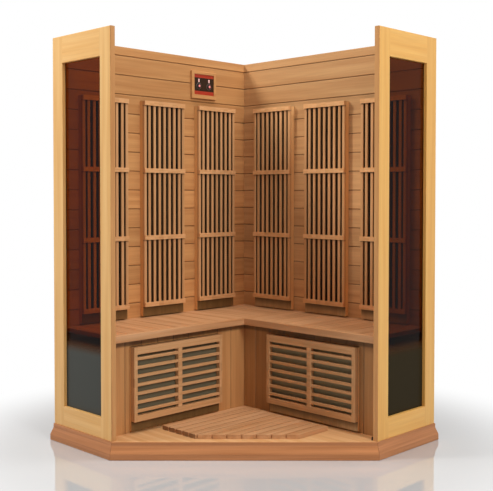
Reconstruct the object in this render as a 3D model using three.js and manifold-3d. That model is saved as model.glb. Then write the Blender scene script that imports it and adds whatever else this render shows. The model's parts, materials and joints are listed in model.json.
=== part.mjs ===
// Infrared sauna cabin of the corner type, open at its roof and its door front.
// Millimetres, +Z up. The origin lies under the middle of the square plan, on the ground.
// The plan is a square whose front corner is cut off at 45 degrees. The left back wall stands on
// the -X side, the right back wall on the +Y side, the window panels on the -Y and +X sides.
// The right half is the left half mirrored across the upright plane X = -Y.

import * as THREE from "three";
import { mergeVertices } from "three/addons/utils/BufferGeometryUtils.js";
import Module from "manifold-3d";

const wasm = await Module();
wasm.setup();

// Cabin
const cabinWidth = 1280;
const cabinHeight = 1905;
const panelWidth = 452;
const jointGap = 0.3;

// Base frame and floor
const baseFrameHeight = 66;
const rimThick = 30;
const joistThick = 28;
const bayCount = 6;
const floorThick = 12;

// Skirting
const skirtOut = 15;
const skirtLipHeight = 27;
const skirtBandHeight = 18;
const skirtBandOut = 4;

// Cable bush in the floor
const grommetHoleRadius = 4;
const grommetFootRadius = 5;
const grommetTipRadius = 4;
const grommetBoreRadius = 2.5;
const grommetProud = 15;
const grommetFromPanel = 8;
const grommetFromDoor = 29;

// Walls, from the room side to the outside
const liningThick = 8;
const wallFrameThick = 20;
const claddingThick = 8;
const wallStudWidth = 40;
const wallStudBays = 3;
const wallRailBays = 2;
const topBoardHeight = 44.5;
const boardPitch = 95.75;
const grooveWidth = 7;
const grooveDepth = 4;

// Window panels
const windowFrameThick = 17.5;
const windowLiningThick = 7.5;
const windowStileWidth = 79;
const windowTopRail = 125;
const windowBottomRail = 94;
const glassThick = 4;
const glassRebate = 10;
const lippingThick = 3;

// Bench
const seatTop = 540;
const seatThick = 20;
const seatBoardWidth = 95;
const benchDepth = 400;
const fasciaThick = 20;
const fasciaHeight = 35;
const fasciaChamfer = 3;
const kickDepth = 354;
const kickThick = 16;
const ledgerThick = 22;
const ledgerHeight = 40;

// Wall heaters and their lath guards
const heaterCount = 3;
const heaterWidth = 271;
const heaterFromCorner = 146;
const heaterFromPanel = 94;
const heaterDepth = 24;
const heaterAboveSeat = 5;
const heaterFromTop = 261.5;
const panRim = 10;
const panRecess = 3;
const guardBottom = 595;
const lathWidth = 16.5;
const lathDepth = 12;
const lathChamfer = 2;
const lathCount = 9;
const lathEndGap = 11;
const guardRailCount = 4;
const guardRailHeight = 22.5;
const guardRailProud = 6;
const guardRailHousing = 1;

// Leg heaters and their louvred guards
const legWidth = 552;
const legFromPanel = 122;
const legHeaterDepth = 12;
const legHeaterFoot = 8;
const legGuardDepth = 24;
const legGuardBottom = 131;
const legGuardTop = 473;
const legTopRail = 34;
const legBottomRail = 28;
const legStile = 19;
const legMidStile = 25;
const louvreCount = 7;
const louvreHeight = 13.5;
const louvreEndGap = 13.5;
const louvreDepth = 14;
const louvreInset = 2;
const louvreHousing = 3;

// Duckboard
const duckWidth = 556;
const duckLength = 526;
const duckCorner = 328;
const duckFromLeftGuard = 24;
const duckFromRightGuard = 36;
const duckSlatCount = 12;
const duckSlatWidth = 40;
const duckSlatThick = 20;
const duckBattenHeight = 8;
const duckBattenWidth = 40;
const duckBattenCount = 3;
const duckBattenSetback = 20;

// Control unit
const bezelWidth = 178;
const bezelHeight = 148;
const bezelDepth = 14;
const bezelSide = 17.5;
const bezelTopRail = 16;
const bezelBottomRail = 22;
const bezelChamfer = 2.5;
const controlFromCorner = 356;
const controlFromTop = 72;
const moduleDepth = 6;
const faceplateThick = 4;
const buttonRadius = 14;
const buttonProud = 5;
const buttonTravel = 2;
const buttonSpacing = 74;
const buttonDrop = 8.5;
const buttonEdge = 1.5;
const buttonStemRadius = 4;
const buttonStemDepth = 2.5;
const buttonClearance = 0.4;

// Draw latches on the outside of the back corner
const lowerLatchFromFloor = 422;
const upperLatchFromTop = 405;
const latchPlateThick = 2;
const latchPlateHeight = 26;
const latchBaseLength = 36;
const latchMargin = 2;
const latchPivotOut = 6;
const latchPivotFromEnd = 14;
const latchPinRadius = 1.5;
const latchPinClearance = 0.2;
const earRadius = 4;
const earThick = 2.6;
const leverWidth = 10;
const leverLength = 46;
const leverThick = 4;
const leverTab = 4;
const leverSideGap = 0.4;
const bailOffset = 12;
const bailWire = 3;
const bailEyeRadius = 3.2;
const bailSideGap = 1.5;
const keeperLipHeight = 7;
const keeperLipTop = 2;
const keeperLipFoot = 3.5;
const keeperBarFromEnd = 14;

// Facets of round forms
const roundFacets = 24;
const pinFacets = 16;

// Finishes
const finish = (color, roughness, metalness = 0) =>
  new THREE.MeshStandardMaterial({ color, roughness, metalness, flatShading: true });
const cedar = finish(0xc48a54, 0.65);
const seatCedar = finish(0xd09a68, 0.6);
const paleWood = finish(0xe5b377, 0.6);
const skirtWood = finish(0xbc7c50, 0.6);
const frameWood = finish(0xcaa877, 0.8);
const slatWood = finish(0xbe956d, 0.65);
const heaterBrown = finish(0x5f3c20, 0.7);
const emitterOlive = finish(0x565344, 0.75);
const darkPlastic = finish(0x1b1517, 0.35);
const buttonRed = finish(0xd8434f, 0.3);
const blackRubber = finish(0x241a14, 0.7);
const steel = finish(0xb8bcc0, 0.35, 1);
const glass = finish(0x3b322b, 0.05);
glass.transparent = true;
glass.opacity = 0.55;

// Planes and levels that neighbours share
const half = cabinWidth / 2;
const floorTop = baseFrameHeight + floorThick;
const wallOuter = -half;
const claddingInner = wallOuter + claddingThick;
const liningOuter = claddingInner + wallFrameThick;
const wallInner = liningOuter + liningThick;
const panelOuter = -half;
const panelMiddle = panelOuter + windowFrameThick;
const panelInner = panelMiddle + windowLiningThick;
const seatFront = wallInner + benchDepth - fasciaThick;
const benchFront = wallInner + benchDepth;
const kickFront = wallInner + kickDepth;
const kickBack = kickFront - kickThick;
const ledgerFront = wallInner + ledgerThick;
const seatBottom = seatTop - seatThick;
const heaterFront = wallInner + heaterDepth;
const heaterTop = cabinHeight - heaterFromTop;
const lathFront = heaterFront + lathDepth;
const legHeaterFront = kickFront + legHeaterDepth;
const legGuardFront = legHeaterFront + legGuardDepth;
const bezelFront = wallInner + bezelDepth;
const moduleFront = wallInner + moduleDepth;
const faceplateFront = moduleFront + faceplateThick;

// Geometry helpers

// Keeps only the positions and merges the shared corners.
function clean(geometry) {
  geometry.deleteAttribute("normal");
  geometry.deleteAttribute("uv");
  return mergeVertices(geometry);
}

// Extrudes an outline by one step and sends each point (a, b, step) to its place.
function sweep(outline, place, holes = []) {
  const points = (loop) => loop.map(([a, b]) => new THREE.Vector2(a, b));
  const shape = new THREE.Shape(points(outline));
  shape.holes = holes.map((hole) => new THREE.Path(points(hole)));
  const geometry = new THREE.ExtrudeGeometry(shape, { depth: 1, bevelEnabled: false });
  const position = geometry.attributes.position;
  for (let i = 0; i < position.count; i += 1) {
    const atEnd = position.getZ(i) > 0.5;
    position.setXYZ(i, ...place(position.getX(i), position.getY(i), atEnd));
  }
  return clean(geometry);
}

// Prisms along X, Y and Z. Their outlines are given in (Y, Z), (X, Z) and (X, Y).
const prismX = (outline, from, to, holes) => sweep(outline, (a, b, end) => [end ? to : from, a, b], holes);
const prismY = (outline, from, to, holes) => sweep(outline, (a, b, end) => [a, end ? from : to, b], holes);
const prismZ = (outline, from, to, holes) => sweep(outline, (a, b, end) => [a, b, end ? to : from], holes);

const rectangle = (a0, a1, b0, b1) => [[a0, b0], [a1, b0], [a1, b1], [a0, b1]];

const block = (x0, x1, y0, y1, z0, z1) => prismZ(rectangle(x0, x1, y0, y1), z0, z1);

function arc(centreA, centreB, radius, from, to, facets) {
  return Array.from({ length: facets + 1 }, (unused, i) => {
    const angle = from + ((to - from) * i) / facets;
    return [centreA + radius * Math.cos(angle), centreB + radius * Math.sin(angle)];
  });
}

const circle = (centreA, centreB, radius, facets) =>
  arc(centreA, centreB, radius, 0, 2 * Math.PI, facets).slice(0, facets);

// Turns a profile of (radius, height) about an upright axis through (x, y).
function turned(profile, x, y) {
  const loop = profile.map(([radius, height]) => new THREE.Vector2(radius, height));
  const geometry = new THREE.LatheGeometry(loop, roundFacets);
  geometry.rotateX(Math.PI / 2);
  geometry.translate(x, y, 0);
  return clean(geometry);
}

function toManifold(geometry) {
  const vertProperties = new Float32Array(geometry.attributes.position.array);
  const triVerts = new Uint32Array(geometry.index.array);
  return new wasm.Manifold(new wasm.Mesh({ numProp: 3, vertProperties, triVerts }));
}

function fromManifold(solid) {
  const { vertProperties, triVerts } = solid.getMesh();
  const geometry = new THREE.BufferGeometry();
  geometry.setAttribute("position", new THREE.BufferAttribute(new Float32Array(vertProperties), 3));
  geometry.setIndex(new THREE.BufferAttribute(new Uint32Array(triVerts), 1));
  return geometry;
}

function join(...geometries) {
  return fromManifold(geometries.map(toManifold).reduce((whole, solid) => whole.add(solid)));
}

function cut(geometry, ...tools) {
  const solids = tools.map(toManifold);
  return fromManifold(solids.reduce((whole, tool) => whole.subtract(tool), toManifold(geometry)));
}

// Mirrors across the plane X = -Y and turns the faces out again.
const acrossDiagonal = new THREE.Matrix4().set(0, -1, 0, 0, -1, 0, 0, 0, 0, 0, 1, 0, 0, 0, 0, 1);

function mirrored(geometry) {
  const copy = geometry.clone().applyMatrix4(acrossDiagonal);
  const index = copy.index;
  for (let i = 0; i < index.count; i += 3) {
    const second = index.getX(i + 1);
    index.setX(i + 1, index.getX(i + 2));
    index.setX(i + 2, second);
  }
  return copy;
}

// Even seams between boards of about the given width.
function seams(from, to, boardWidth) {
  const count = Math.max(1, Math.round((to - from) / boardWidth));
  return Array.from({ length: count - 1 }, (unused, i) => from + ((to - from) * (i + 1)) / count);
}

// One face of a boarded panel: a line along b at a = face, with a V-groove into the wood at each seam.
function groovedLine(face, inward, seamList) {
  return seamList.flatMap((seam) => [
    [face, seam - grooveWidth / 2],
    [face + inward * grooveDepth, seam],
    [face, seam + grooveWidth / 2],
  ]);
}

const swapped = (outline) => outline.map(([a, b]) => [b, a]);

// The model

const cabin = new THREE.Group();

function add(name, geometry, material) {
  const mesh = new THREE.Mesh(geometry, material);
  mesh.name = name;
  cabin.add(mesh);
}

// Both halves: the left piece as built, the right piece mirrored.
function addPair(name, geometry, material) {
  add(`left_${name}`, geometry, material);
  add(`right_${name}`, mirrored(geometry), material);
}

// Base: the plan's outline, drawn in by a distance from each edge.
function planOutline(inset) {
  const near = -half + inset;
  const far = half - inset;
  const cutLine = panelWidth - inset * Math.SQRT2;
  return [[near, near], [near + cutLine, near], [far, far - cutLine], [far, far], [near, far]];
}

// The bay between two joists, closed at the front by the rim along the edge that it meets there.
function bayOutline(x0, x1) {
  const near = -half + rimThick;
  const cutLine = panelWidth - rimThick * Math.SQRT2;
  const front = (x) => Math.max(near, x - cutLine);
  const corner = near + cutLine;
  const bend = corner > x0 && corner < x1 ? [[corner, near]] : [];
  return [[x0, front(x0)], ...bend, [x1, front(x1)], [x1, half - rimThick], [x0, half - rimThick]];
}

function baseFrame() {
  const bayWidth = (cabinWidth - 2 * rimThick - (bayCount - 1) * joistThick) / bayCount;
  const bays = Array.from({ length: bayCount }, (unused, i) => {
    const x0 = -half + rimThick + i * (bayWidth + joistThick);
    return prismZ(bayOutline(x0, x0 + bayWidth), -floorTop, floorTop);
  });
  return cut(prismZ(planOutline(0), 0, baseFrameHeight), ...bays);
}

// The cable bush stands inside the right window panel, set back from the door front's edge.
const grommetX = half - (panelInner - panelOuter) - grommetFromPanel;
const grommetY = grommetX - panelWidth + grommetFromDoor * Math.SQRT2;

add("base_frame", baseFrame(), frameWood);

const grommetHole = circle(grommetX, grommetY, grommetHoleRadius, roundFacets);
add("floor_deck", prismZ(planOutline(0), baseFrameHeight, floorTop, [grommetHole]), seatCedar);

const grommetProfile = [
  [grommetBoreRadius, baseFrameHeight],
  [grommetHoleRadius - jointGap, baseFrameHeight],
  [grommetHoleRadius - jointGap, floorTop],
  [grommetFootRadius, floorTop],
  [grommetTipRadius, floorTop + grommetProud],
  [grommetBoreRadius, floorTop + grommetProud],
  [grommetBoreRadius, baseFrameHeight],
];
add("floor_grommet", turned(grommetProfile, grommetX, grommetY), blackRubber);

// Skirting: a moulded board along each edge of the plan, mitred to its neighbours.
const skirtProfile = [
  [0, 0],
  [skirtOut, 0],
  [skirtOut, skirtLipHeight],
  [skirtBandOut, floorTop - skirtBandHeight],
  [skirtBandOut, floorTop],
  [0, floorTop],
];

function skirtBoard(index) {
  const corners = planOutline(0).map(([x, y]) => new THREE.Vector2(x, y));
  const corner = (i) => corners[(i + corners.length) % corners.length];
  const direction = (i) => corner(i + 1).clone().sub(corner(i)).normalize();
  const along = direction(index);
  const outward = new THREE.Vector2(along.y, -along.x);
  const mitre = (i) => Math.tan(Math.acos(direction(i - 1).dot(direction(i))) / 2);
  const length = corner(index + 1).distanceTo(corner(index));
  return sweep(skirtProfile, (out, height, atStart) => {
    const reach = out + jointGap;
    const start = jointGap - reach * mitre(index);
    const end = length - jointGap + reach * mitre(index + 1);
    const place = corner(index).clone();
    place.addScaledVector(along, atStart ? start : end).addScaledVector(outward, reach);
    return [place.x, place.y, height];
  });
}

["left", "front", "right", "back_right", "back_left"].forEach((side, index) => {
  add(`skirt_${side}`, skirtBoard(index), skirtWood);
});

// Back walls: grooved lining and cladding on a ladder frame. The right wall runs through to the
// back corner and the left wall butts against it. The window panels cover the front ends.
function boardSeams() {
  const list = [];
  for (let z = cabinHeight - topBoardHeight; z > floorTop + grooveWidth; z -= boardPitch) {
    list.unshift(z);
  }
  return list;
}

function wallLining(backEnd) {
  const face = groovedLine(wallInner, -1, boardSeams());
  const outline = [
    [liningOuter, floorTop],
    [wallInner, floorTop],
    ...face,
    [wallInner, cabinHeight],
    [liningOuter, cabinHeight],
  ];
  return prismY(outline, panelInner, backEnd);
}

function wallCladding(backEnd) {
  const face = groovedLine(wallOuter, 1, boardSeams());
  const outline = [
    [claddingInner, floorTop],
    [wallOuter, floorTop],
    ...face,
    [wallOuter, cabinHeight],
    [claddingInner, cabinHeight],
  ];
  return prismY(outline, panelInner, backEnd);
}

function wallFrame(backEnd) {
  const bayLength = (backEnd - panelInner - (wallStudBays + 1) * wallStudWidth) / wallStudBays;
  const bayHeight = (cabinHeight - floorTop - (wallRailBays + 1) * wallStudWidth) / wallRailBays;
  const bays = [];
  for (let column = 0; column < wallStudBays; column += 1) {
    for (let row = 0; row < wallRailBays; row += 1) {
      const y0 = panelInner + wallStudWidth + column * (bayLength + wallStudWidth);
      const z0 = floorTop + wallStudWidth + row * (bayHeight + wallStudWidth);
      bays.push(block(wallOuter, wallInner, y0, y0 + bayLength, z0, z0 + bayHeight));
    }
  }
  return cut(block(claddingInner, liningOuter, panelInner, backEnd, floorTop, cabinHeight), ...bays);
}

add("left_wall_lining", wallLining(-wallInner), cedar);
add("left_wall_frame", wallFrame(-wallInner), frameWood);
add("left_wall_cladding", wallCladding(-wallInner), cedar);
add("right_wall_lining", mirrored(wallLining(half)), cedar);
add("right_wall_frame", mirrored(wallFrame(half)), frameWood);
add("right_wall_cladding", mirrored(wallCladding(half)), cedar);

// Window panels: a pale outer frame, an inner frame whose rebate holds the pane, and a lipping that
// covers the front edge of both, where the door front meets the panel.
const windowBottom = floorTop + windowBottomRail;
const windowTop = cabinHeight - windowTopRail;
const windowBack = -half + windowStileWidth;
const windowFront = -half + panelWidth - windowStileWidth;

const windowOutline = (grow) =>
  rectangle(windowBack - grow, windowFront + grow, windowBottom - grow, windowTop + grow);

const lippingFront = -half + panelWidth;
const lippingBack = lippingFront - lippingThick;
const panelOutline = rectangle(-half, lippingBack, floorTop, cabinHeight);
const glassBack = panelMiddle + glassThick;

const windowLining = cut(
  prismY(panelOutline, panelMiddle, panelInner, [windowOutline(0)]),
  prismY(windowOutline(glassRebate), panelOuter, glassBack + jointGap),
);

addPair("window_frame", prismY(panelOutline, panelOuter, panelMiddle, [windowOutline(0)]), paleWood);
addPair("window_lining", windowLining, cedar);
addPair(
  "window_lipping",
  block(lippingBack, lippingFront, panelOuter, panelInner, floorTop, cabinHeight),
  cedar,
);
addPair("window_glass", prismY(windowOutline(glassRebate - jointGap), panelMiddle, glassBack), glass);

// Bench: the left seat runs into the back corner and the right seat butts against it.
function seat(backEnd) {
  const top = swapped(groovedLine(seatTop, -1, seams(panelInner, backEnd, seatBoardWidth)));
  const outline = [
    [panelInner, seatBottom], [panelInner, seatTop], ...top, [backEnd, seatTop], [backEnd, seatBottom],
  ];
  return prismX(outline, wallInner, seatFront);
}

function fascia(backEnd) {
  const bottom = seatTop - fasciaHeight;
  const outline = [
    [seatFront, bottom],
    [benchFront - fasciaChamfer, bottom],
    [benchFront, bottom + fasciaChamfer],
    [benchFront, seatTop - fasciaChamfer],
    [benchFront - fasciaChamfer, seatTop],
    [seatFront, seatTop],
  ];
  return prismY(outline, panelInner, backEnd);
}

function benchKick(backEnd) {
  const face = groovedLine(kickFront, -1, seams(panelInner, backEnd, seatBoardWidth));
  const outline = [
    [kickBack, panelInner], [kickFront, panelInner], ...face, [kickFront, backEnd], [kickBack, backEnd],
  ];
  return prismZ(outline, floorTop, seatBottom);
}

const ledger = (backEnd) =>
  block(wallInner, ledgerFront, panelInner, backEnd, seatBottom - ledgerHeight, seatBottom);

add("left_seat", seat(-wallInner), seatCedar);
add("right_seat", mirrored(seat(-seatFront)), seatCedar);
add("left_fascia", fascia(-benchFront), seatCedar);
add("right_fascia", mirrored(fascia(-seatFront)), seatCedar);
add("left_bench_front", benchKick(-kickFront), cedar);
add("right_bench_front", mirrored(benchKick(-kickBack)), cedar);
add("left_ledger", ledger(-wallInner), frameWood);
add("right_ledger", mirrored(ledger(-ledgerFront)), frameWood);

// Wall heaters: a shallow pan with its emitter sunk behind the rim, and a lath guard on its face.
const guardRailBack = lathFront - guardRailHousing;
const guardRailFront = lathFront + guardRailProud;

function heaterPan(y0) {
  const y1 = y0 + heaterWidth;
  const pan = block(wallInner, heaterFront, y0, y1, seatTop + heaterAboveSeat, heaterTop);
  const recess = block(
    heaterFront - panRecess, lathFront, y0 + panRim, y1 - panRim, guardBottom + panRim, heaterTop - panRim,
  );
  return cut(pan, recess);
}

function lath(y0) {
  const outline = [
    [heaterFront, y0],
    [lathFront - lathChamfer, y0],
    [lathFront, y0 + lathChamfer],
    [lathFront, y0 + lathWidth - lathChamfer],
    [lathFront - lathChamfer, y0 + lathWidth],
    [heaterFront, y0 + lathWidth],
  ];
  return prismZ(outline, guardBottom, heaterTop);
}

function lathGuard(y0) {
  const innerCount = lathCount - 2;
  const innerWidth = heaterWidth - 2 * (lathWidth + lathEndGap);
  const pitch = (innerWidth - lathWidth) / (innerCount - 1);
  const laths = [lath(y0), lath(y0 + heaterWidth - lathWidth)];
  for (let i = 0; i < innerCount; i += 1) {
    laths.push(lath(y0 + lathWidth + lathEndGap + i * pitch));
  }
  const railPitch = (heaterTop - guardBottom - guardRailHeight) / (guardRailCount - 1);
  const rails = Array.from({ length: guardRailCount }, (unused, i) => {
    const z0 = guardBottom + i * railPitch;
    return block(guardRailBack, guardRailFront, y0, y0 + heaterWidth, z0, z0 + guardRailHeight);
  });
  return join(...laths, ...rails);
}

const heaterStart = half - heaterFromCorner - heaterWidth;
const heaterPitch = (heaterStart - panelInner - heaterFromPanel) / (heaterCount - 1);

for (let i = 0; i < heaterCount; i += 1) {
  const y0 = heaterStart - i * heaterPitch;
  addPair(`heater_${i + 1}`, heaterPan(y0), heaterBrown);
  addPair(`grille_${i + 1}`, lathGuard(y0), slatWood);
}

// Leg heaters on the bench front: a pan and a louvred guard of two columns.
const legNear = panelInner + legFromPanel;
const legBack = legNear + legWidth;

function legHeater() {
  const recess = block(
    legHeaterFront - panRecess, legGuardFront, legNear + panRim, legBack - panRim,
    legGuardBottom + panRim, legGuardTop - panRim,
  );
  const pan = block(kickFront, legHeaterFront, legNear, legBack, floorTop + legHeaterFoot, legGuardTop);
  return cut(pan, recess);
}

function legGuard() {
  const bottom = legGuardBottom + legBottomRail;
  const top = legGuardTop - legTopRail;
  const columnWidth = (legWidth - 2 * legStile - legMidStile) / 2;
  const columnStarts = [legNear + legStile, legBack - legStile - columnWidth];
  const board = block(legHeaterFront, legGuardFront, legNear, legBack, legGuardBottom, legGuardTop);
  const columns = columnStarts.map((y0) => block(kickFront, benchFront, y0, y0 + columnWidth, bottom, top));
  const pitch = (top - bottom - 2 * louvreEndGap - louvreHeight) / (louvreCount - 1);
  const front = legGuardFront - louvreInset;
  const louvres = columnStarts.flatMap((y0) =>
    Array.from({ length: louvreCount }, (unused, i) => {
      const z0 = bottom + louvreEndGap + i * pitch;
      const y1 = y0 + columnWidth + louvreHousing;
      return block(front - louvreDepth, front, y0 - louvreHousing, y1, z0, z0 + louvreHeight);
    }),
  );
  return join(cut(board, ...columns), ...louvres);
}

addPair("leg_heater", legHeater(), emitterOlive);
addPair("leg_grille", legGuard(), slatWood);

// Duckboard: slats along Y with battens let into their undersides, and the front corner cut off
// along the door front. The battens stop short of the cut.
function duckboard() {
  const x0 = legGuardFront + duckFromLeftGuard;
  const x1 = x0 + duckWidth;
  const y1 = -legGuardFront - duckFromRightGuard;
  const y0 = y1 - duckLength;
  const slatPitch = (duckWidth - duckSlatWidth) / (duckSlatCount - 1);
  const slats = Array.from({ length: duckSlatCount }, (unused, i) => {
    const x = x0 + i * slatPitch;
    return block(x, x + duckSlatWidth, y0, y1, floorTop, floorTop + duckSlatThick);
  });
  const battenPitch = duckLength / duckBattenCount;
  const battens = Array.from({ length: duckBattenCount }, (unused, i) => {
    const y = y0 + (i + 0.5) * battenPitch - duckBattenWidth / 2;
    const ends = [x0 + duckBattenSetback, x1 - duckBattenSetback];
    return block(...ends, y, y + duckBattenWidth, floorTop, floorTop + duckBattenHeight);
  });
  const cornerPiece = (leg) => {
    const outside = duckWidth + duckLength;
    const corners = [
      [x1 - leg - outside, y0 - outside],
      [x1 + outside, y0 - outside],
      [x1 + outside, y0 + leg + outside],
    ];
    return prismZ(corners, 0, seatTop);
  };
  const battenLeg = duckCorner + duckBattenSetback * Math.SQRT2;
  return join(cut(join(...slats), cornerPiece(duckCorner)), cut(join(...battens), cornerPiece(battenLeg)));
}

add("duckboard", duckboard(), seatCedar);

// Control unit on the left wall: surround, housing, plate and two sprung buttons.
const bezelY1 = half - controlFromCorner + bezelWidth / 2;
const bezelY0 = bezelY1 - bezelWidth;
const bezelTop = cabinHeight - controlFromTop;
const controlBottom = bezelTop - bezelHeight;
const plateY = (bezelY0 + bezelY1) / 2;
const plateBottom = controlBottom + bezelBottomRail;
const plateTop = bezelTop - bezelTopRail;
const buttonZ = (plateBottom + plateTop) / 2 - buttonDrop;
const buttonFront = faceplateFront + buttonProud;
const buttonBack = moduleFront + buttonTravel + jointGap;
const stemBack = moduleFront - buttonStemDepth;
const buttonPlaces = { right: plateY - buttonSpacing / 2, left: plateY + buttonSpacing / 2 };

const plateOutline = (inset) =>
  rectangle(bezelY0 + bezelSide + inset, bezelY1 - bezelSide - inset, plateBottom + inset, plateTop - inset);

const buttonHoles = (radius, facets) =>
  Object.values(buttonPlaces).map((y) => circle(y, buttonZ, radius + buttonClearance, facets));

// The bezel's front edges are eased by a chamfer all round.
function bezel() {
  const outline = rectangle(bezelY0, bezelY1, controlBottom, bezelTop);
  const shoulder = bezelFront - bezelChamfer;
  const eased = sweep(outline, (y, z, atFront) => {
    const inset = atFront ? bezelChamfer : 0;
    const easedY = y > plateY ? y - inset : y + inset;
    const easedZ = z > buttonZ ? z - inset : z + inset;
    return [atFront ? bezelFront : shoulder, easedY, easedZ];
  });
  const body = prismX(outline, wallInner, shoulder);
  return cut(join(body, eased), prismX(plateOutline(0), wallOuter, benchFront));
}

function button(y) {
  const across = (radius, from, to, facets) => prismX(circle(y, buttonZ, radius, facets), from, to);
  const cap = across(buttonRadius, buttonBack, buttonFront - buttonEdge, roundFacets);
  const crown = sweep(circle(0, 0, 1, roundFacets), (a, b, atFront) => {
    const radius = atFront ? buttonRadius - buttonEdge : buttonRadius;
    return [atFront ? buttonFront : buttonFront - buttonEdge, y + a * radius, buttonZ + b * radius];
  });
  const stem = across(buttonStemRadius, stemBack, buttonFront - buttonEdge, pinFacets);
  return join(cap, crown, stem);
}

const moduleBody = cut(
  prismX(plateOutline(jointGap), wallInner, moduleFront),
  ...buttonHoles(buttonStemRadius, pinFacets).map((hole) =>
    prismX(hole, stemBack - buttonTravel - jointGap, faceplateFront)),
);

add("control_bezel", bezel(), cedar);
add("control_module", moduleBody, darkPlastic);
add(
  "control_faceplate",
  prismX(plateOutline(jointGap), moduleFront, faceplateFront, buttonHoles(buttonRadius, roundFacets)),
  darkPlastic,
);
Object.entries(buttonPlaces).forEach(([side, y]) => add(`control_button_${side}`, button(y), buttonRed));

// Draw latches: the lever turns on the base's ears, and the bail on the lever's second pin pulls on
// the keeper's lip, which draws the left wall against the end of the right wall.
const latchJoint = -wallInner;
const pivotX = wallOuter - latchPivotOut;
const pivotY = latchJoint - latchMargin - latchPivotFromEnd;
const bailPinY = pivotY - bailOffset;
const keeperEnd = half - latchMargin;
const barY = keeperEnd - keeperBarFromEnd;
const plateX = wallOuter - latchPlateThick;
const earInner = leverWidth / 2 + leverSideGap;
const earOuter = earInner + earThick;
const armInner = earOuter + bailSideGap;
const armOuter = armInner + bailWire;

// A prism on both sides of the latch's middle height.
const bothSides = (outline, z, inner, outer, holes) =>
  [prismZ(outline, z + inner, z + outer, holes), prismZ(outline, z - outer, z - inner, holes)];

const pin = (y, z, reach) => prismZ(circle(pivotX, y, latchPinRadius, pinFacets), z - reach, z + reach);
const pinHole = (y) => circle(pivotX, y, latchPinRadius + latchPinClearance, pinFacets);

function latchPlate(y0, y1, z) {
  const reach = latchPlateHeight / 2;
  return block(plateX, wallOuter, y0, y1, z - reach, z + reach);
}

function latchBase(z) {
  const y1 = latchJoint - latchMargin;
  const root = wallOuter - latchPlateThick / 2;
  const ear = [
    [root, pivotY + earRadius],
    ...arc(pivotX, pivotY, earRadius, Math.PI / 2, (3 * Math.PI) / 2, pinFacets / 2),
    [root, pivotY - earRadius],
  ];
  const ears = bothSides(ear, z, earInner, earOuter, [pinHole(pivotY)]);
  return join(latchPlate(y1 - latchBaseLength, y1, z), ...ears);
}

function latchLever(z) {
  const inner = pivotX + leverThick / 2;
  const outer = pivotX - leverThick / 2;
  const tip = pivotY - leverLength;
  const outline = [
    ...arc(pivotX, pivotY, leverThick / 2, 0, Math.PI, pinFacets / 2),
    [outer, tip + leverTab],
    [outer - leverTab, tip],
    [outer - leverTab / 2, tip - leverTab],
    [inner, tip],
  ];
  const handle = prismZ(outline, z - leverWidth / 2, z + leverWidth / 2);
  return join(handle, pin(pivotY, z, earOuter + leverSideGap), pin(bailPinY, z, armOuter + leverSideGap));
}

function latchBail(z) {
  const wire = bailWire / 2;
  const arms = bothSides(rectangle(pivotX - wire, pivotX + wire, bailPinY, barY), z, armInner, armOuter);
  const eyes = bothSides(circle(pivotX, bailPinY, bailEyeRadius, pinFacets), z, armInner, armOuter);
  const bores = bothSides(pinHole(bailPinY), z, armInner - jointGap, armOuter + jointGap);
  const bar = prismZ(circle(pivotX, barY, wire, pinFacets), z - armOuter, z + armOuter);
  return cut(join(...arms, ...eyes, bar), ...bores);
}

function latchKeeper(z) {
  const face = barY - bailWire / 2 - jointGap;
  const root = wallOuter - latchPlateThick / 2;
  const crest = plateX - keeperLipHeight;
  const lip = [[root, face], [crest, face], [crest, face - keeperLipTop], [root, face - keeperLipFoot]];
  const reach = armInner - bailSideGap;
  return join(latchPlate(latchJoint + latchMargin, keeperEnd, z), prismZ(lip, z - reach, z + reach));
}

const latchHeights = { lower: floorTop + lowerLatchFromFloor, upper: cabinHeight - upperLatchFromTop };

Object.entries(latchHeights).forEach(([level, z]) => {
  add(`${level}_latch_base`, latchBase(z), steel);
  add(`${level}_latch_lever`, latchLever(z), steel);
  add(`${level}_latch_bail`, latchBail(z), steel);
  add(`${level}_latch_keeper`, latchKeeper(z), steel);
});

export default cabin;
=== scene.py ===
import json
import math

import bpy
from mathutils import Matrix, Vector


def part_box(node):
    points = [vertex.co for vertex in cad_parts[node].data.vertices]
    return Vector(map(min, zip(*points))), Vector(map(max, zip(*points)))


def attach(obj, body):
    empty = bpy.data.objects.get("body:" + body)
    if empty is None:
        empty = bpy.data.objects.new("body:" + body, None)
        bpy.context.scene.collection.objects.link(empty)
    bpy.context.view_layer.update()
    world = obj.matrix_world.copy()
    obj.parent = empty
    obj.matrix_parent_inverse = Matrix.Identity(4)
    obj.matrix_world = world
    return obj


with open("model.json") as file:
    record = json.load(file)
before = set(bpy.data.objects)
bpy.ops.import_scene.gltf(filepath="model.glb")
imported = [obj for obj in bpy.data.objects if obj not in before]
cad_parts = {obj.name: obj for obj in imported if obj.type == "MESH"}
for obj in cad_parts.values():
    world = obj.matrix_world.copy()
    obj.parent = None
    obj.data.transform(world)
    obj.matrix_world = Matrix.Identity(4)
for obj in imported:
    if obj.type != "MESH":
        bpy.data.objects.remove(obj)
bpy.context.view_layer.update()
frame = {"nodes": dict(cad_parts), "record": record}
nodes = frame["nodes"]
print("frame loaded:", len(nodes), "nodes")

mm = 0.001
bodies = frame["record"]["behaviour"]["bodies"]
bodyOf = {node: body for body, group in bodies.items() for node in group}


# small helpers

def linear(hexColour):
    parts = [int(hexColour[i:i + 2], 16) / 255 for i in (1, 3, 5)]
    return tuple(p / 12.92 if p <= 0.04045 else ((p + 0.055) / 1.055) ** 2.4 for p in parts) + (1.0,)


def addNode(tree, kind, settings=None, links=None):
    node = tree.nodes.new(kind)
    for name, value in (settings or {}).items():
        setattr(node, name, value)
    for socket, value in (links or {}).items():
        if isinstance(value, bpy.types.NodeSocket):
            tree.links.new(value, node.inputs[socket])
        else:
            node.inputs[socket].default_value = value
    return node


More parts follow.
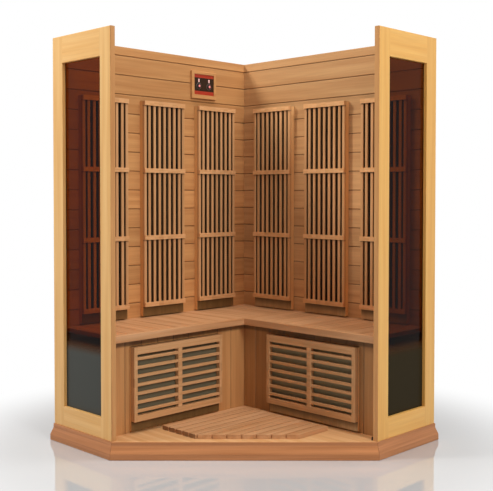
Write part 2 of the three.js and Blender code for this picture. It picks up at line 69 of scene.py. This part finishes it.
def compute(tree, operation, *values):
    return addNode(tree, "ShaderNodeMath", {"operation": operation}, dict(enumerate(values))).outputs[0]


def remap(tree, value, start, end, atStart, atEnd, curve="LINEAR"):
    links = {"Value": value, 1: start, 2: end, 3: atStart, 4: atEnd}
    return addNode(tree, "ShaderNodeMapRange", {"interpolation_type": curve}, links).outputs[0]


def mixColours(tree, factor, first, second):
    links = {"Factor": factor, 6: first, 7: second}
    return addNode(tree, "ShaderNodeMix", {"data_type": "RGBA"}, links).outputs[2]


def objectPlace(tree):
    return addNode(tree, "ShaderNodeTexCoord").outputs["Object"]


def splitVector(tree, vector):
    return addNode(tree, "ShaderNodeSeparateXYZ", links={"Vector": vector}).outputs


def newMaterial(name):
    material = bpy.data.materials.new(name)
    material.use_nodes = True
    shader = material.node_tree.nodes["Principled BSDF"]
    return material, material.node_tree, shader


def dress(nodeNames, material):
    for name in nodeNames:
        nodes[name].material_slots[0].material = material


def deselectAll():
    for thing in bpy.context.selected_objects:
        thing.select_set(False)


# wood: planed boards, each its own tone, with long soft streaks and fine fibres along the grain

noise = {"low": 0.3, "high": 0.7}        # most of a noise texture's values lie between these
square = {"low": 0.9, "high": 0.98}      # how squarely a face has to look along an axis
grain = {
    "crossStep": 0.37, "shift": 3.0,     # numbers and patterns of neighbouring boards differ
    "streakDetail": 3.0, "streakRoughness": 0.55, "fibreDetail": 2.0,
    "deepAt": 0.32, "paleAt": 0.68,
    "glossSwing": 0.06, "reliefStrength": 0.25, "reliefDepth": 0.4 * mm, "ior": 1.5,
}


# painted shade: dark lines and fades that follow the shade in the photograph
def paintedShadesOf(tree, look, parts, across, boardPlace):
    shades = []
    if "seam" in look:
        # a dark joint with painted shade along the groove between two boards, darkest in the inner part of
        # its width
        halfBoard = 0.5
        reach = look["seam"] / look["boardPitch"]
        gap = compute(tree, "PINGPONG", boardPlace, halfBoard)
        shades.append(remap(tree, gap, look["seamCore"] * reach, reach, look["seamShade"], 1.0))
    if "shadeByHeight" in look:
        # painted shade, darker by height
        shadeByHeight = look["shadeByHeight"]
        shades.append(remap(tree, parts["Z"], shadeByHeight["start"], shadeByHeight["end"], 1.0, shadeByHeight["shade"], "SMOOTHSTEP"))
    if "rails" in look:
        # painted shade close under each cross rail
        rails = look["rails"]
        upward = compute(tree, "SUBTRACT", parts["Z"], rails["start"])
        upward = compute(tree, "DIVIDE", upward, rails["pitch"])
        upward = compute(tree, "FRACT", upward)
        shades.append(remap(tree, upward, 1 - rails["reach"] / rails["pitch"], 1.0, 1.0, rails["shade"]))
    if "sides" in look:
        # painted shade down the sides of the laths, by their depth
        sides = look["sides"]
        behind = compute(tree, "SUBTRACT", parts[sides["axis"]], sides["front"])
        behind = compute(tree, "ABSOLUTE", behind)
        within = compute(tree, "COMPARE", across, sides["centre"], sides["reach"])
        depth = compute(tree, "MULTIPLY", behind, within)
        shades.append(remap(tree, depth, sides["start"], sides["end"], 1.0, sides["shade"]))
    return shades


def woodMaterial(name, look):
    material, tree, shader = newMaterial(name)
    place = objectPlace(tree)
    if "turn" in look:
        turn = (0, 0, look["turn"])
        turned = addNode(tree, "ShaderNodeMapping", links={"Vector": place, "Rotation": turn})
        place = turned.outputs["Vector"]
    parts = splitVector(tree, place)
    facing = splitVector(tree, addNode(tree, "ShaderNodeNewGeometry").outputs["True Normal"])

    # each board is counted, and has a chance value of its own between 0 and 1
    across = parts[look["boardAxis"]]
    boardPlace = compute(tree, "SUBTRACT", across, look["boardStart"])
    boardPlace = compute(tree, "DIVIDE", boardPlace, look["boardPitch"])
    number = compute(tree, "FLOOR", boardPlace)
    cross = look.get("cross")
    inside = None
    if cross:
        inside = compute(tree, "COMPARE", parts[cross["axis"]], cross["centre"], cross["reach"])
        number = compute(tree, "MULTIPLY_ADD", inside, grain["crossStep"], number)
    chance = addNode(tree, "ShaderNodeTexWhiteNoise", {"noise_dimensions": "1D"}, {"W": number}).outputs
    shift = addNode(tree, "ShaderNodeVectorMath", {"operation": "SCALE"},
                    {0: chance["Color"], "Scale": grain["shift"]})
    shifted = addNode(tree, "ShaderNodeVectorMath", {"operation": "ADD"},
                      {0: place, 1: shift.outputs["Vector"]}).outputs["Vector"]

    # the grain is long along one axis, or along a second one where the board runs that way
    def stretched(axis, width, length):
        scale = tuple(1 / length if i == axis else 1 / width for i in range(3))
        mapping = addNode(tree, "ShaderNodeMapping", links={"Vector": shifted, "Scale": scale})
        return mapping.outputs["Vector"]

    def grainPlace(width, length):
        first = stretched(look["grainAxis"], width, length)
        if inside is None:
            return first
        second = stretched(cross["grainAxis"], width, length)
        return addNode(tree, "ShaderNodeMix", {"data_type": "VECTOR"},
                       {"Factor": inside, 4: first, 5: second}).outputs[1]

    streaks = addNode(tree, "ShaderNodeTexNoise", links={
        "Vector": grainPlace(look["streakWidth"], look["streakLength"]), "Scale": 1.0,
        "Detail": grain["streakDetail"], "Roughness": grain["streakRoughness"]}).outputs["Fac"]
    fibres = addNode(tree, "ShaderNodeTexNoise", links={
        "Vector": grainPlace(look["fibreWidth"], look["fibreLength"]), "Scale": 1.0,
        "Detail": grain["fibreDetail"]}).outputs["Fac"]

    tone = addNode(tree, "ShaderNodeValToRGB", links={"Fac": streaks})
    deep, pale = tone.color_ramp.elements
    deep.position = grain["deepAt"]
    deep.color = linear(look["deep"])
    pale.position = grain["paleAt"]
    pale.color = linear(look["pale"])

    def swing(value, start, end, middle, reach):
        return remap(tree, value, start, end, middle - reach, middle + reach)

    shades = [swing(fibres, noise["low"], noise["high"], 1, look["fibreDepth"]),
              swing(chance["Value"], 0.0, 1.0, 1, look["boardSwing"])]
    if cross is None:
        # end grain is darker than the board's sides
        steep = compute(tree, "ABSOLUTE", facing[look["grainAxis"]])
        shades.append(remap(tree, steep, square["low"], square["high"], 1.0, look["endShade"]))
    elif "tone" in cross:
        shades.append(remap(tree, inside, 0.0, 1.0, 1.0, cross["tone"]))
    shades += paintedShadesOf(tree, look, parts, across, boardPlace)
    shade = shades[0]
    for factor in shades[1:]:
        shade = compute(tree, "MULTIPLY", shade, factor)
    paint = addNode(tree, "ShaderNodeVectorMath", {"operation": "SCALE"},
                    {0: tone.outputs["Color"], "Scale": shade}).outputs["Vector"]
    if "paleEdges" in look:
        # pale wood on the upright edges, brightened as painted light
        steep = compute(tree, "ABSOLUTE", facing[look["paleEdges"]["axis"]])
        edge = remap(tree, steep, square["low"], square["high"], 0.0, 1.0)
        paint = mixColours(tree, edge, paint, linear(look["paleEdges"]["colour"]))

    gloss = swing(fibres, noise["low"], noise["high"], look["roughness"], grain["glossSwing"])
    relief = addNode(tree, "ShaderNodeBump", links={
        "Height": fibres, "Strength": grain["reliefStrength"], "Distance": grain["reliefDepth"]})
    tree.links.new(paint, shader.inputs["Base Color"])
    tree.links.new(gloss, shader.inputs["Roughness"])
    tree.links.new(relief.outputs["Normal"], shader.inputs["Normal"])
    shader.inputs["IOR"].default_value = grain["ior"]
    return material


plainGrain = {
    "streakWidth": 26 * mm, "streakLength": 700 * mm,   # growth bands on a sawn face
    "fibreWidth": 4 * mm, "fibreLength": 160 * mm,      # drawn coarser than real fibres, so that they show
    "fibreDepth": 0.05, "boardSwing": 0.08, "roughness": 0.6, "endShade": 0.55,
    "boardAxis": 2, "boardStart": 0.0, "boardPitch": 10.0,   # one board, until a piece says otherwise
}
# western red cedar, planed and bare: warm tan boards with browner bands, hardly any shine
cedarLook = {**plainGrain, "pale": "#D09A62", "deep": "#BD8450", "boardSwing": 0.12}
seatLook = {**plainGrain, "pale": "#D2A074", "deep": "#BE885A", "boardSwing": 0.05}
lathLook = {**plainGrain, "pale": "#D2A273", "deep": "#BE8B5A", "streakWidth": 9 * mm, "boardSwing": 0.06}
floorLook = {**seatLook, "pale": "#E0B07C", "deep": "#CE9862"}
# clear-coated hemlock: pale honey stiles and rails with a slight sheen
hemlockLook = {**plainGrain, "roughness": 0.42, "fibreDepth": 0.03, "boardSwing": 0.03}
# stained and clear-coated skirting: redder and darker, with a slight sheen
skirtLook = {**plainGrain, "pale": "#CB8755", "deep": "#B27141", "roughness": 0.45, "streakWidth": 16 * mm}
# sawn pine of the hidden frames: pale yellow and matt
pineLook = {**plainGrain, "pale": "#D9BC8C", "deep": "#C6A470", "roughness": 0.75}
# stained board of the heater pans: brown, with a faint upright grain; its darkness below the guards is
# partly painted shade
stainLook = {**plainGrain, "roughness": 0.6, "fibreDepth": 0.08}

# painted light and shade: tones that differ between the two sides follow the photograph, whose light these
# lamps don't repeat
wallSideLight = {"left": {}, "right": {"pale": "#D6A672", "deep": "#C28F5E"}}
benchSideShade = {"left": {}, "right": {"pale": "#BC8A56", "deep": "#A97747"}}
lathSideLight = {"left": {}, "right": {"pale": "#DEAC7A", "deep": "#CA9560"}}
hemlockToneAndLight = {
    "left": {"pale": "#F6C47E", "deep": "#EBB166"},
    "right": {"pale": "#F6C06C", "deep": "#EBAD58"},
}
stainToneAndShade = {
    "left": {"pale": "#805F37", "deep": "#70522E"},
    "right": {"pale": "#D3B284", "deep": "#C3A276"},
}
# painted light on the pans' upright edges and painted shade under the guards
panLightAndShade = {
    "left": {"edge": "#E0AC70", "shadeUnderGuard": 0.61},
    "right": {"edge": "#EEBE82", "shadeUnderGuard": 0.23},
}

seams = {"seam": 3.5 * mm, "seamCore": 0.4, "seamShade": 0.5}
wall = {"boardPitch": 95.75 * mm, "topBoard": 44.5 * mm}
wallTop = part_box("left_wall_lining")[1].z
wallBoards = {"boardAxis": 2, "boardPitch": wall["boardPitch"], "boardStart": wallTop - wall["topBoard"]}


def dressWall(side, along):
    wallLook = {**cedarLook, **wallSideLight[side], **wallBoards, **seams, "grainAxis": along}
    dress([f"{side}_wall_lining", f"{side}_wall_cladding"], woodMaterial(f"{side} wall cedar", wallLook))
    dress([f"{side}_ledger", f"{side}_wall_frame"],
          woodMaterial(f"{side} frame pine", {**pineLook, "grainAxis": along}))


bench = {
    "boardWidth": 95 * mm, "frontSeam": 0.7, "seatSeam": 0.75,
    "shadeStart": 34 * mm, "shadeEnd": 22 * mm, "shade": 0.45,   # the shade under the seat's front edge
}


def benchBoards(node, axis, seamShade):
    low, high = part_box(node)
    length = high[axis] - low[axis]
    count = round(length / bench["boardWidth"])
    boards = {"boardAxis": axis, "boardStart": low[axis], "boardPitch": length / count}
    return {**boards, **seams, "seamShade": seamShade}


def dressBench(side, along, depthAxis):
    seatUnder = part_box(f"{side}_fascia")[0].z
    # painted shade under the seat's front edge
    shadeUnderSeat = {"start": seatUnder - bench["shadeStart"], "end": seatUnder - bench["shadeEnd"],
                 "shade": bench["shade"]}
    frontBoards = benchBoards(f"{side}_bench_front", along, bench["frontSeam"])
    frontLook = {**cedarLook, **benchSideShade[side], **frontBoards, "grainAxis": 2, "shadeByHeight": shadeUnderSeat}
    dress([f"{side}_bench_front"], woodMaterial(f"{side} bench front cedar", frontLook))
    seatBoards = benchBoards(f"{side}_seat", along, bench["seatSeam"])
    dress([f"{side}_seat"],
          woodMaterial(f"{side} seat cedar", {**seatLook, **seatBoards, "grainAxis": depthAxis}))
    dress([f"{side}_fascia"], woodMaterial(f"{side} fascia cedar", {**seatLook, "grainAxis": along}))


guard = {
    "laths": 9, "railGaps": 3, "railHeight": 22.5 * mm, "railDepth": 5.5 * mm, "railTone": 1.15,
    # painted shade under the rails and down the laths' sides
    "lineReach": 9 * mm, "lineShade": 0.35,
    "sideStart": 8 * mm, "sideEnd": 11 * mm, "sideShade": 0.3, "sideMargin": 1 * mm,
}


# lath guards: upright laths, with cross rails standing proud of them
def dressGuard(side, along, depthAxis, node):
    low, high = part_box(node)
    width = high[along] - low[along]
    railFront = high.x if side == "left" else low.y
    laths = {"boardAxis": along, "boardStart": low[along], "boardPitch": width / guard["laths"]}
    crossRails = {"grainAxis": along, "axis": depthAxis, "centre": railFront, "reach": guard["railDepth"],
                  "tone": guard["railTone"]}
    # painted shade: a dark line close under each cross rail
    shadeUnderRails = {"start": low.z, "pitch": (high.z - low.z - guard["railHeight"]) / guard["railGaps"],
                  "reach": guard["lineReach"], "shade": guard["lineShade"]}
    # painted shade down the laths' sides, deeper with their depth
    lathSideShade = {"axis": depthAxis, "front": railFront, "start": guard["sideStart"],
                 "end": guard["sideEnd"], "shade": guard["sideShade"],
                 "centre": (low[along] + high[along]) / 2, "reach": width / 2 - guard["sideMargin"]}
    guardLook = {**lathLook, **lathSideLight[side], **laths, "grainAxis": 2, "cross": crossRails,
                 "sides": lathSideShade, "rails": shadeUnderRails}
    dress([node], woodMaterial(f"{node} cedar", guardLook))


# the level rails between two upright stiles
def betweenStiles(node, axis, stile):
    low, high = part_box(node)
    return {"grainAxis": axis, "axis": axis, "centre": (low[axis] + high[axis]) / 2,
            "reach": (high[axis] - low[axis]) / 2 - stile}


legGuard = {"stile": 19 * mm, "louvrePitch": 40 * mm}


# leg guards: level rails and louvres between upright stiles
def dressLegGuard(side, along):
    node = f"{side}_leg_grille"
    louvres = {"boardAxis": 2, "boardStart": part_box(node)[0].z, "boardPitch": legGuard["louvrePitch"]}
    guardLook = {**lathLook, **louvres, "grainAxis": 2,
                 "cross": betweenStiles(node, along, legGuard["stile"])}
    dress([node], woodMaterial(f"{side} leg guard cedar", guardLook))


panel = {"stile": 79 * mm}


# window panels: full-height stiles with level rails between them
def dressPanel(side, panelAxis):
    rails = {"grainAxis": 2, "cross": betweenStiles(f"{side}_window_frame", panelAxis, panel["stile"])}
    dress([f"{side}_window_frame"],
          woodMaterial(f"{side} window hemlock", {**hemlockLook, **hemlockToneAndLight[side], **rails}))
    dress([f"{side}_window_lining"], woodMaterial(f"{side} window lining cedar", {**cedarLook, **rails}))
    dress([f"{side}_window_lipping"], woodMaterial(f"{side} lipping cedar", {**cedarLook, "grainAxis": 2}))


# heater pans: darker towards the guard as painted shade, with pale upright edges partly painted light
def dressPan(side, along, heater):
    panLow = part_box(f"{side}_{heater}")[0].z
    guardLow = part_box(f"{side}_{heater.replace('heater', 'grille')}")[0].z
    panLook = {**stainLook, **stainToneAndShade[side], "grainAxis": 2,
               "paleEdges": {"axis": along, "colour": panLightAndShade[side]["edge"]},
               "shadeByHeight": {"start": panLow, "end": guardLow, "shade": panLightAndShade[side]["shadeUnderGuard"]}}
    dress([f"{side}_{heater}"], woodMaterial(f"{side} {heater} dark-stained board", panLook))


for side, along, depthAxis in (("left", 1, 0), ("right", 0, 1)):
    dressWall(side, along)
    dressBench(side, along, depthAxis)
    for number in (1, 2, 3):
        dressGuard(side, along, depthAxis, f"{side}_grille_{number}")
    dressLegGuard(side, along)
    dressPanel(side, depthAxis)
    for heater in ("heater_1", "heater_2", "heater_3", "leg_heater"):
        dressPan(side, along, heater)

duckboard = {"slats": 12}
duckLow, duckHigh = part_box("duckboard")
slatPitch = (duckHigh.x - duckLow.x) / duckboard["slats"]
slats = {"boardAxis": 0, "boardStart": duckLow.x, "boardPitch": slatPitch}
dress(["duckboard"], woodMaterial("duckboard cedar", {**seatLook, **slats, "grainAxis": 1}))
dress(["floor_deck"], woodMaterial("floor cedar", {**floorLook, "grainAxis": 0}))
dress(["base_frame"], woodMaterial("base pine", {**pineLook, "grainAxis": 0}))
dress(["control_bezel"], woodMaterial("bezel cedar", {**cedarLook, "grainAxis": 1, "endShade": 0.9}))
dress(["skirt_left", "skirt_back_right"], woodMaterial("skirting along X", {**skirtLook, "grainAxis": 0}))
dress(["skirt_right", "skirt_back_left"], woodMaterial("skirting along Y", {**skirtLook, "grainAxis": 1}))
frontSkirt = {**skirtLook, "grainAxis": 0, "turn": math.radians(-45)}
dress(["skirt_front"], woodMaterial("skirting across the front", frontSkirt))
print("woods dressed")


# plain finishes

pane = {"smokeStart": 500 * mm, "smokeEnd": 430 * mm, "smokeClear": 0.2, "shine": 0.12, "ior": 1.12}
# each side's tints follow the photograph; the difference between the two sides is painted light and shade
paneToneAndLight = {
    "left": {"bronze": "#895326", "smoke": "#5E5F5A"},
    "right": {"bronze": "#734721", "smoke": "#3E3523"},
}


def glassMaterial(side):
    # bronze-tinted float glass: browns what is behind it, and goes smoke grey below the seat
    material, tree, shader = newMaterial(f"{side} bronze float glass")
    tints = paneToneAndLight[side]
    height = splitVector(tree, objectPlace(tree))["Z"]
    above = remap(tree, height, pane["smokeEnd"], pane["smokeStart"], 0.0, 1.0, "SMOOTHSTEP")
    tint = mixColours(tree, above, linear(tints["smoke"]), linear(tints["bronze"]))
    clear = remap(tree, above, 0.0, 1.0, pane["smokeClear"], 1.0)
    tree.links.new(tint, shader.inputs["Base Color"])
    tree.links.new(clear, shader.inputs["Transmission Weight"])
    shader.inputs["Roughness"].default_value = 0.0
    shader.inputs["IOR"].default_value = pane["ior"]
    shader.inputs["Specular IOR Level"].default_value = pane["shine"]
    return material


for side in ("left", "right"):
    dress([f"{side}_window_glass"], glassMaterial(side))

steel = {"colour": "#C4C7CA", "lineWidth": 1 * mm, "linesAlong": 30.0, "glossLow": 0.26, "glossHigh": 0.42}


def steelMaterial():
    # zinc-plated spring steel: cool grey, lightly brushed along its length
    material, tree, shader = newMaterial("zinc-plated steel")
    scale = (1 / steel["lineWidth"], steel["linesAlong"], 1 / steel["lineWidth"])
    brushed = addNode(tree, "ShaderNodeMapping", links={"Vector": objectPlace(tree), "Scale": scale})
    lines = addNode(tree, "ShaderNodeTexNoise", links={"Vector": brushed.outputs["Vector"], "Scale": 1.0})
    gloss = remap(tree, lines.outputs["Fac"], noise["low"], noise["high"],
                  steel["glossLow"], steel["glossHigh"])
    tree.links.new(gloss, shader.inputs["Roughness"])
    shader.inputs["Base Color"].default_value = linear(steel["colour"])
    shader.inputs["Metallic"].default_value = 1.0
    return material


dress([name for name in nodes if "_latch_" in name], steelMaterial())

grit = {"size": 1.2 * mm, "swing": 0.05, "detail": 1.0}


def plasticMaterial(name, hexColour, roughness):
    # moulded plastic or rubber: one even colour with a fine spark-eroded texture
    material, tree, shader = newMaterial(name)
    specks = addNode(tree, "ShaderNodeTexNoise", links={
        "Vector": objectPlace(tree), "Scale": 1 / grit["size"], "Detail": grit["detail"]})
    gloss = remap(tree, specks.outputs["Fac"], noise["low"], noise["high"],
                  roughness - grit["swing"], roughness + grit["swing"])
    tree.links.new(gloss, shader.inputs["Roughness"])
    shader.inputs["Base Color"].default_value = linear(hexColour)
    return material


dress(["floor_grommet"], plasticMaterial("black rubber", "#1B130E", roughness=0.7))
dress(["control_module"], plasticMaterial("black ABS", "#1A1718", roughness=0.4))

faceplate = {"rise": 1 * mm, "reach": 36 * mm, "red": "#AC3626", "black": "#261A17", "roughness": 0.18}


def faceplateMaterial():
    # back-printed acrylic: glossy black with a plain red band along its top and its bottom
    material, tree, shader = newMaterial("back-printed acrylic")
    low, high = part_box("control_faceplate")
    middle = (low.z + high.z) / 2 + faceplate["rise"]
    height = splitVector(tree, objectPlace(tree))["Z"]
    inside = compute(tree, "COMPARE", height, middle, faceplate["reach"])
    inks = mixColours(tree, inside, linear(faceplate["red"]), linear(faceplate["black"]))
    tree.links.new(inks, shader.inputs["Base Color"])
    shader.inputs["Roughness"].default_value = faceplate["roughness"]
    return material


dress(["control_faceplate"], faceplateMaterial())
dress(["control_button_left", "control_button_right"],
      plasticMaterial("black button ABS", "#241618", roughness=0.3))
print("plain finishes dressed")


# eased edges on every CAD piece: its loose triangles are welded, then bevelled where they turn sharply

easing = {"cedar": 1.2 * mm, "hemlock": 1.5 * mm, "small": 0.4 * mm,
          "weld": 0.02 * mm, "segments": 2, "angle": math.radians(30)}


def easeEdges(node, width):
    piece = nodes[node]
    weld = piece.modifiers.new("weld", "WELD")
    weld.merge_threshold = easing["weld"]
    bevel = piece.modifiers.new("eased edges", "BEVEL")
    bevel.width = width
    bevel.segments = easing["segments"]
    bevel.limit_method = "ANGLE"
    bevel.angle_limit = easing["angle"]


smallPieces = ("latch", "control", "grommet", "glass")
for node in nodes:
    if any(word in node for word in smallPieces):
        easeEdges(node, easing["small"])
    elif "window" in node:
        easeEdges(node, easing["hemlock"])
    else:
        easeEdges(node, easing["cedar"])
print("edges eased")


# new pieces

def finishPiece(piece, node, material):
    piece.data.materials.clear()
    piece.data.materials.append(material)
    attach(piece, bodyOf[node])


def applyPlace():
    bpy.ops.object.transform_apply(location=True, rotation=True, scale=True)


def insetFace(piece, direction, thickness, depth):
    for group in (piece.data.vertices, piece.data.edges):
        for item in group:
            item.select = False
    for face in piece.data.polygons:
        face.select = face.normal.dot(Vector(direction)) > square["low"]
    bpy.ops.object.mode_set(mode="EDIT")
    bpy.ops.mesh.select_mode(type="FACE")
    bpy.ops.mesh.inset(thickness=thickness, depth=depth)
    bpy.ops.object.mode_set(mode="OBJECT")


rounding = {"segments": 2, "smooth": math.radians(40)}


def roundEdges(piece, width):
    bevel = piece.modifiers.new("rounded edges", "BEVEL")
    bevel.width = width
    bevel.segments = rounding["segments"]
    bevel.limit_method = "ANGLE"
    bpy.ops.object.modifier_apply(modifier=bevel.name)
    bpy.ops.object.shade_smooth_by_angle(angle=rounding["smooth"])


def addPlate(name, low, high):
    deselectAll()
    middle = (Vector(low) + Vector(high)) / 2
    bpy.ops.mesh.primitive_cube_add(size=1, location=middle)
    piece = bpy.context.object
    piece.name = name
    piece.scale = Vector(high) - Vector(low)
    applyPlace()
    return piece


carbon = {"weave": 6 * mm, "dark": 0.7, "roughness": 0.7, "shine": 0.15}


def carbonMaterial(name, hexColour):
    # carbon-fibre heating film on board: matt, with a faint crossed weave
    material, tree, shader = newMaterial(name)
    pale = linear(hexColour)
    dark = tuple(c * carbon["dark"] for c in pale[:3]) + (1.0,)
    weave = addNode(tree, "ShaderNodeTexChecker", links={
        "Vector": objectPlace(tree), "Scale": 1 / carbon["weave"], "Color1": pale, "Color2": dark})
    tree.links.new(weave.outputs["Color"], shader.inputs["Base Color"])
    shader.inputs["Roughness"].default_value = carbon["roughness"]
    shader.inputs["Specular IOR Level"].default_value = carbon["shine"]
    return material


# emitter films: a thin sheet with a raised border on the floor of each heater pan's recess
emitters = {"rim": 11 * mm, "recess": 3 * mm, "thick": 1.2 * mm, "edge": 0.3 * mm,
            "border": 8 * mm, "sunk": 0.4 * mm}


def addEmitter(side, heater, grille, material):
    low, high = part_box(heater)
    low.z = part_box(grille)[0].z
    depth, forward = (0, Vector((1, 0, 0))) if side == "left" else (1, Vector((0, -1, 0)))
    for axis in range(3):
        if axis != depth:
            low[axis] += emitters["rim"]
            high[axis] -= emitters["rim"]
    if side == "left":
        low.x = high.x - emitters["recess"]
        high.x = low.x + emitters["thick"]
    else:
        high.y = low.y + emitters["recess"]
        low.y = high.y - emitters["thick"]
    piece = addPlate(f"{heater}_emitter", low, high)
    insetFace(piece, forward, emitters["border"], -emitters["sunk"])
    roundEdges(piece, emitters["edge"])
    finishPiece(piece, heater, material)


wallFilm = carbonMaterial("carbon heating film", "#0C0704")
# painted light: the right side's film is lighter than the left
legFilmToneAndLight = {"left": "#7E765E", "right": "#A09878"}   # after the photograph
for side in ("left", "right"):
    legFilm = carbonMaterial(f"{side} olive heating film", legFilmToneAndLight[side])
    for number in (1, 2, 3):
        addEmitter(side, f"{side}_heater_{number}", f"{side}_grille_{number}", wallFilm)
    addEmitter(side, f"{side}_leg_heater", f"{side}_leg_grille", legFilm)
print("emitters added")


# control unit: a lit lens on each button, a ring round it and a lit bar above it

litRoughness = 0.25


def litMaterial(name, hexColour, glow):
    # diffusing acrylic that glows: a pale, even glow
    material, _, shader = newMaterial(name)
    shader.inputs["Base Color"].default_value = linear(hexColour)
    shader.inputs["Emission Color"].default_value = linear(hexColour)
    shader.inputs["Emission Strength"].default_value = glow
    shader.inputs["Roughness"].default_value = litRoughness
    return material


lens = {"radius": 6.5 * mm, "thick": 1.2 * mm, "border": 1.6 * mm, "dome": 0.5 * mm, "edge": 0.3 * mm,
        "sides": 32, "colour": "#E88A86", "glow": 0.35}
ring = {"radius": 16.2 * mm, "wire": 1.2 * mm, "flat": 0.6, "sides": 40, "wireSides": 10,
        "colour": "#6E6259", "roughness": 0.35}
bar = {"width": 9 * mm, "height": 17 * mm, "thick": 1.0 * mm, "border": 1.2 * mm, "dome": 0.4 * mm,
       "edge": 0.3 * mm, "rise": 30 * mm, "colour": "#E3B4AC", "glow": 0.3}


def addButtonTrim(side):
    button = f"control_button_{side}"
    low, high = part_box(button)
    centre = (low + high) / 2
    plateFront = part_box("control_faceplate")[1].x
    outward = (1, 0, 0)
    facingOut = (0, math.pi / 2, 0)

    deselectAll()
    bpy.ops.mesh.primitive_cylinder_add(
        vertices=lens["sides"], radius=lens["radius"], depth=lens["thick"],
        location=(high.x + lens["thick"] / 2, centre.y, centre.z), rotation=facingOut)
    piece = bpy.context.object
    piece.name = f"control_lens_{side}"
    applyPlace()
    insetFace(piece, outward, lens["border"], lens["dome"])
    roundEdges(piece, lens["edge"])
    lensMaterial = litMaterial(f"{side} lit acrylic lens", lens["colour"], lens["glow"])
    finishPiece(piece, button, lensMaterial)

    deselectAll()
    bpy.ops.mesh.primitive_torus_add(
        major_radius=ring["radius"], minor_radius=ring["wire"], major_segments=ring["sides"],
        minor_segments=ring["wireSides"], location=(plateFront, centre.y, centre.z), rotation=facingOut)
    piece = bpy.context.object
    piece.name = f"control_ring_{side}"
    piece.scale = (1, 1, ring["flat"])
    applyPlace()
    bpy.ops.object.shade_smooth()
    ringMaterial = plasticMaterial(f"{side} grey ring ABS", ring["colour"], ring["roughness"])
    finishPiece(piece, "control_faceplate", ringMaterial)

    middle = Vector((plateFront, centre.y, centre.z + bar["rise"]))
    reach = Vector((0, bar["width"] / 2, bar["height"] / 2))
    thickness = Vector((bar["thick"], 0, 0))
    piece = addPlate(f"control_bar_{side}", middle - reach, middle + reach + thickness)
    insetFace(piece, outward, bar["border"], bar["dome"])
    roundEdges(piece, bar["edge"])
    barMaterial = litMaterial(f"{side} lit acrylic bar", bar["colour"], bar["glow"])
    finishPiece(piece, "control_faceplate", barMaterial)


for side in ("left", "right"):
    addButtonTrim(side)
print("control unit trimmed")


# camera: the photograph's place, turned 45 degrees to the walls

view = {"place": (2.935, -2.951, 1.170), "pitch": 0.0268, "yaw": 0.0010, "roll": -0.0004,
        "lens": 64.13, "sensor": 36, "shiftX": 0.0070, "shiftY": -0.0564}
camera = bpy.data.objects.new("camera", bpy.data.cameras.new("camera"))
bpy.context.scene.collection.objects.link(camera)
camera.data.lens = view["lens"]
camera.data.sensor_width = view["sensor"]
camera.data.shift_x = view["shiftX"]
camera.data.shift_y = view["shiftY"]
camera.location = view["place"]
camera.rotation_euler = (math.pi / 2 - view["pitch"], view["roll"], math.pi / 4 - view["yaw"])
bpy.context.scene.camera = camera


# floor, light and backdrop

stage = {"size": 40, "drop": 0.5 * mm, "near": 0.95, "far": 1.7, "lift": 0.04,
         "floor": "#C2C1C0", "roughness": 0.05, "ior": 2.6}


def seenDirectly(tree):
    path = addNode(tree, "ShaderNodeLightPath").outputs
    straight = compute(tree, "MAXIMUM", path["Is Camera Ray"], path["Is Glossy Ray"])
    return compute(tree, "MAXIMUM", straight, path["Is Transmission Ray"])


def floorMaterial():
    # pale polished floor: it keeps the object's shadow and a faint reflection, and runs out to white
    material, tree, shader = newMaterial("pale polished floor")
    shader.inputs["Base Color"].default_value = linear(stage["floor"])
    shader.inputs["Roughness"].default_value = stage["roughness"]
    shader.inputs["IOR"].default_value = stage["ior"]
    seen = seenDirectly(tree)
    away = addNode(tree, "ShaderNodeVectorMath", {"operation": "LENGTH"}, {0: objectPlace(tree)})
    far = remap(tree, away.outputs["Value"], stage["near"], stage["far"], 0.0, 1.0, "SMOOTHSTEP")
    lift = compute(tree, "MULTIPLY", seen, stage["lift"])
    glow = addNode(tree, "ShaderNodeEmission", links={"Strength": lift})
    near = addNode(tree, "ShaderNodeAddShader", links={0: shader.outputs[0], 1: glow.outputs[0]})
    white = addNode(tree, "ShaderNodeEmission", links={"Strength": 1.0})
    share = compute(tree, "MULTIPLY", far, seen)
    mixed = addNode(tree, "ShaderNodeMixShader", links={0: share, 1: near.outputs[0], 2: white.outputs[0]})
    tree.links.new(mixed.outputs[0], tree.nodes["Material Output"].inputs["Surface"])
    return material


deselectAll()
bpy.ops.mesh.primitive_plane_add(size=stage["size"], location=(0, 0, -stage["drop"]))
floor = bpy.context.object
floor.name = "floor"
floor.data.materials.append(floorMaterial())

light = {"world": 0.12, "backdrop": 1.0}
world = bpy.data.worlds.new("studio")
bpy.context.scene.world = world
world.use_nodes = True
background = world.node_tree.nodes["Background"]
background.inputs["Color"].default_value = (1, 1, 1, 1)
seen = seenDirectly(world.node_tree)
strength = remap(world.node_tree, seen, 0.0, 1.0, light["world"], light["backdrop"])
world.node_tree.links.new(strength, background.inputs["Strength"])

lamps = {
    "front right lamp": {"place": (6.0, -1.0, 4.2), "size": 2.6, "power": 228},
    "high left lamp": {"place": (-2.6, -3.4, 4.6), "size": 1.4, "power": 196},
    "top lamp": {"place": (0.3, -0.3, 5.0), "size": 2.0, "power": 64},
    "top right lamp": {"place": (1.2, 1.2, 5.0), "size": 1.5, "power": 55},
}
lampAim = Vector((0, 0, 1.0))


def addLamp(name, place, size, power):
    data = bpy.data.lights.new(name, "AREA")
    data.shape = "DISK"
    data.size = size
    data.energy = power
    lamp = bpy.data.objects.new(name, data)
    bpy.context.scene.collection.objects.link(lamp)
    lamp.location = place
    lamp.visible_glossy = False   # the polished floor shows no lamp discs
    lamp.rotation_euler = (lampAim - Vector(place)).to_track_quat("-Z", "Y").to_euler()


for name, lamp in lamps.items():
    addLamp(name, **lamp)

bpy.context.scene.view_settings.view_transform = "Standard"
print("camera and light set")
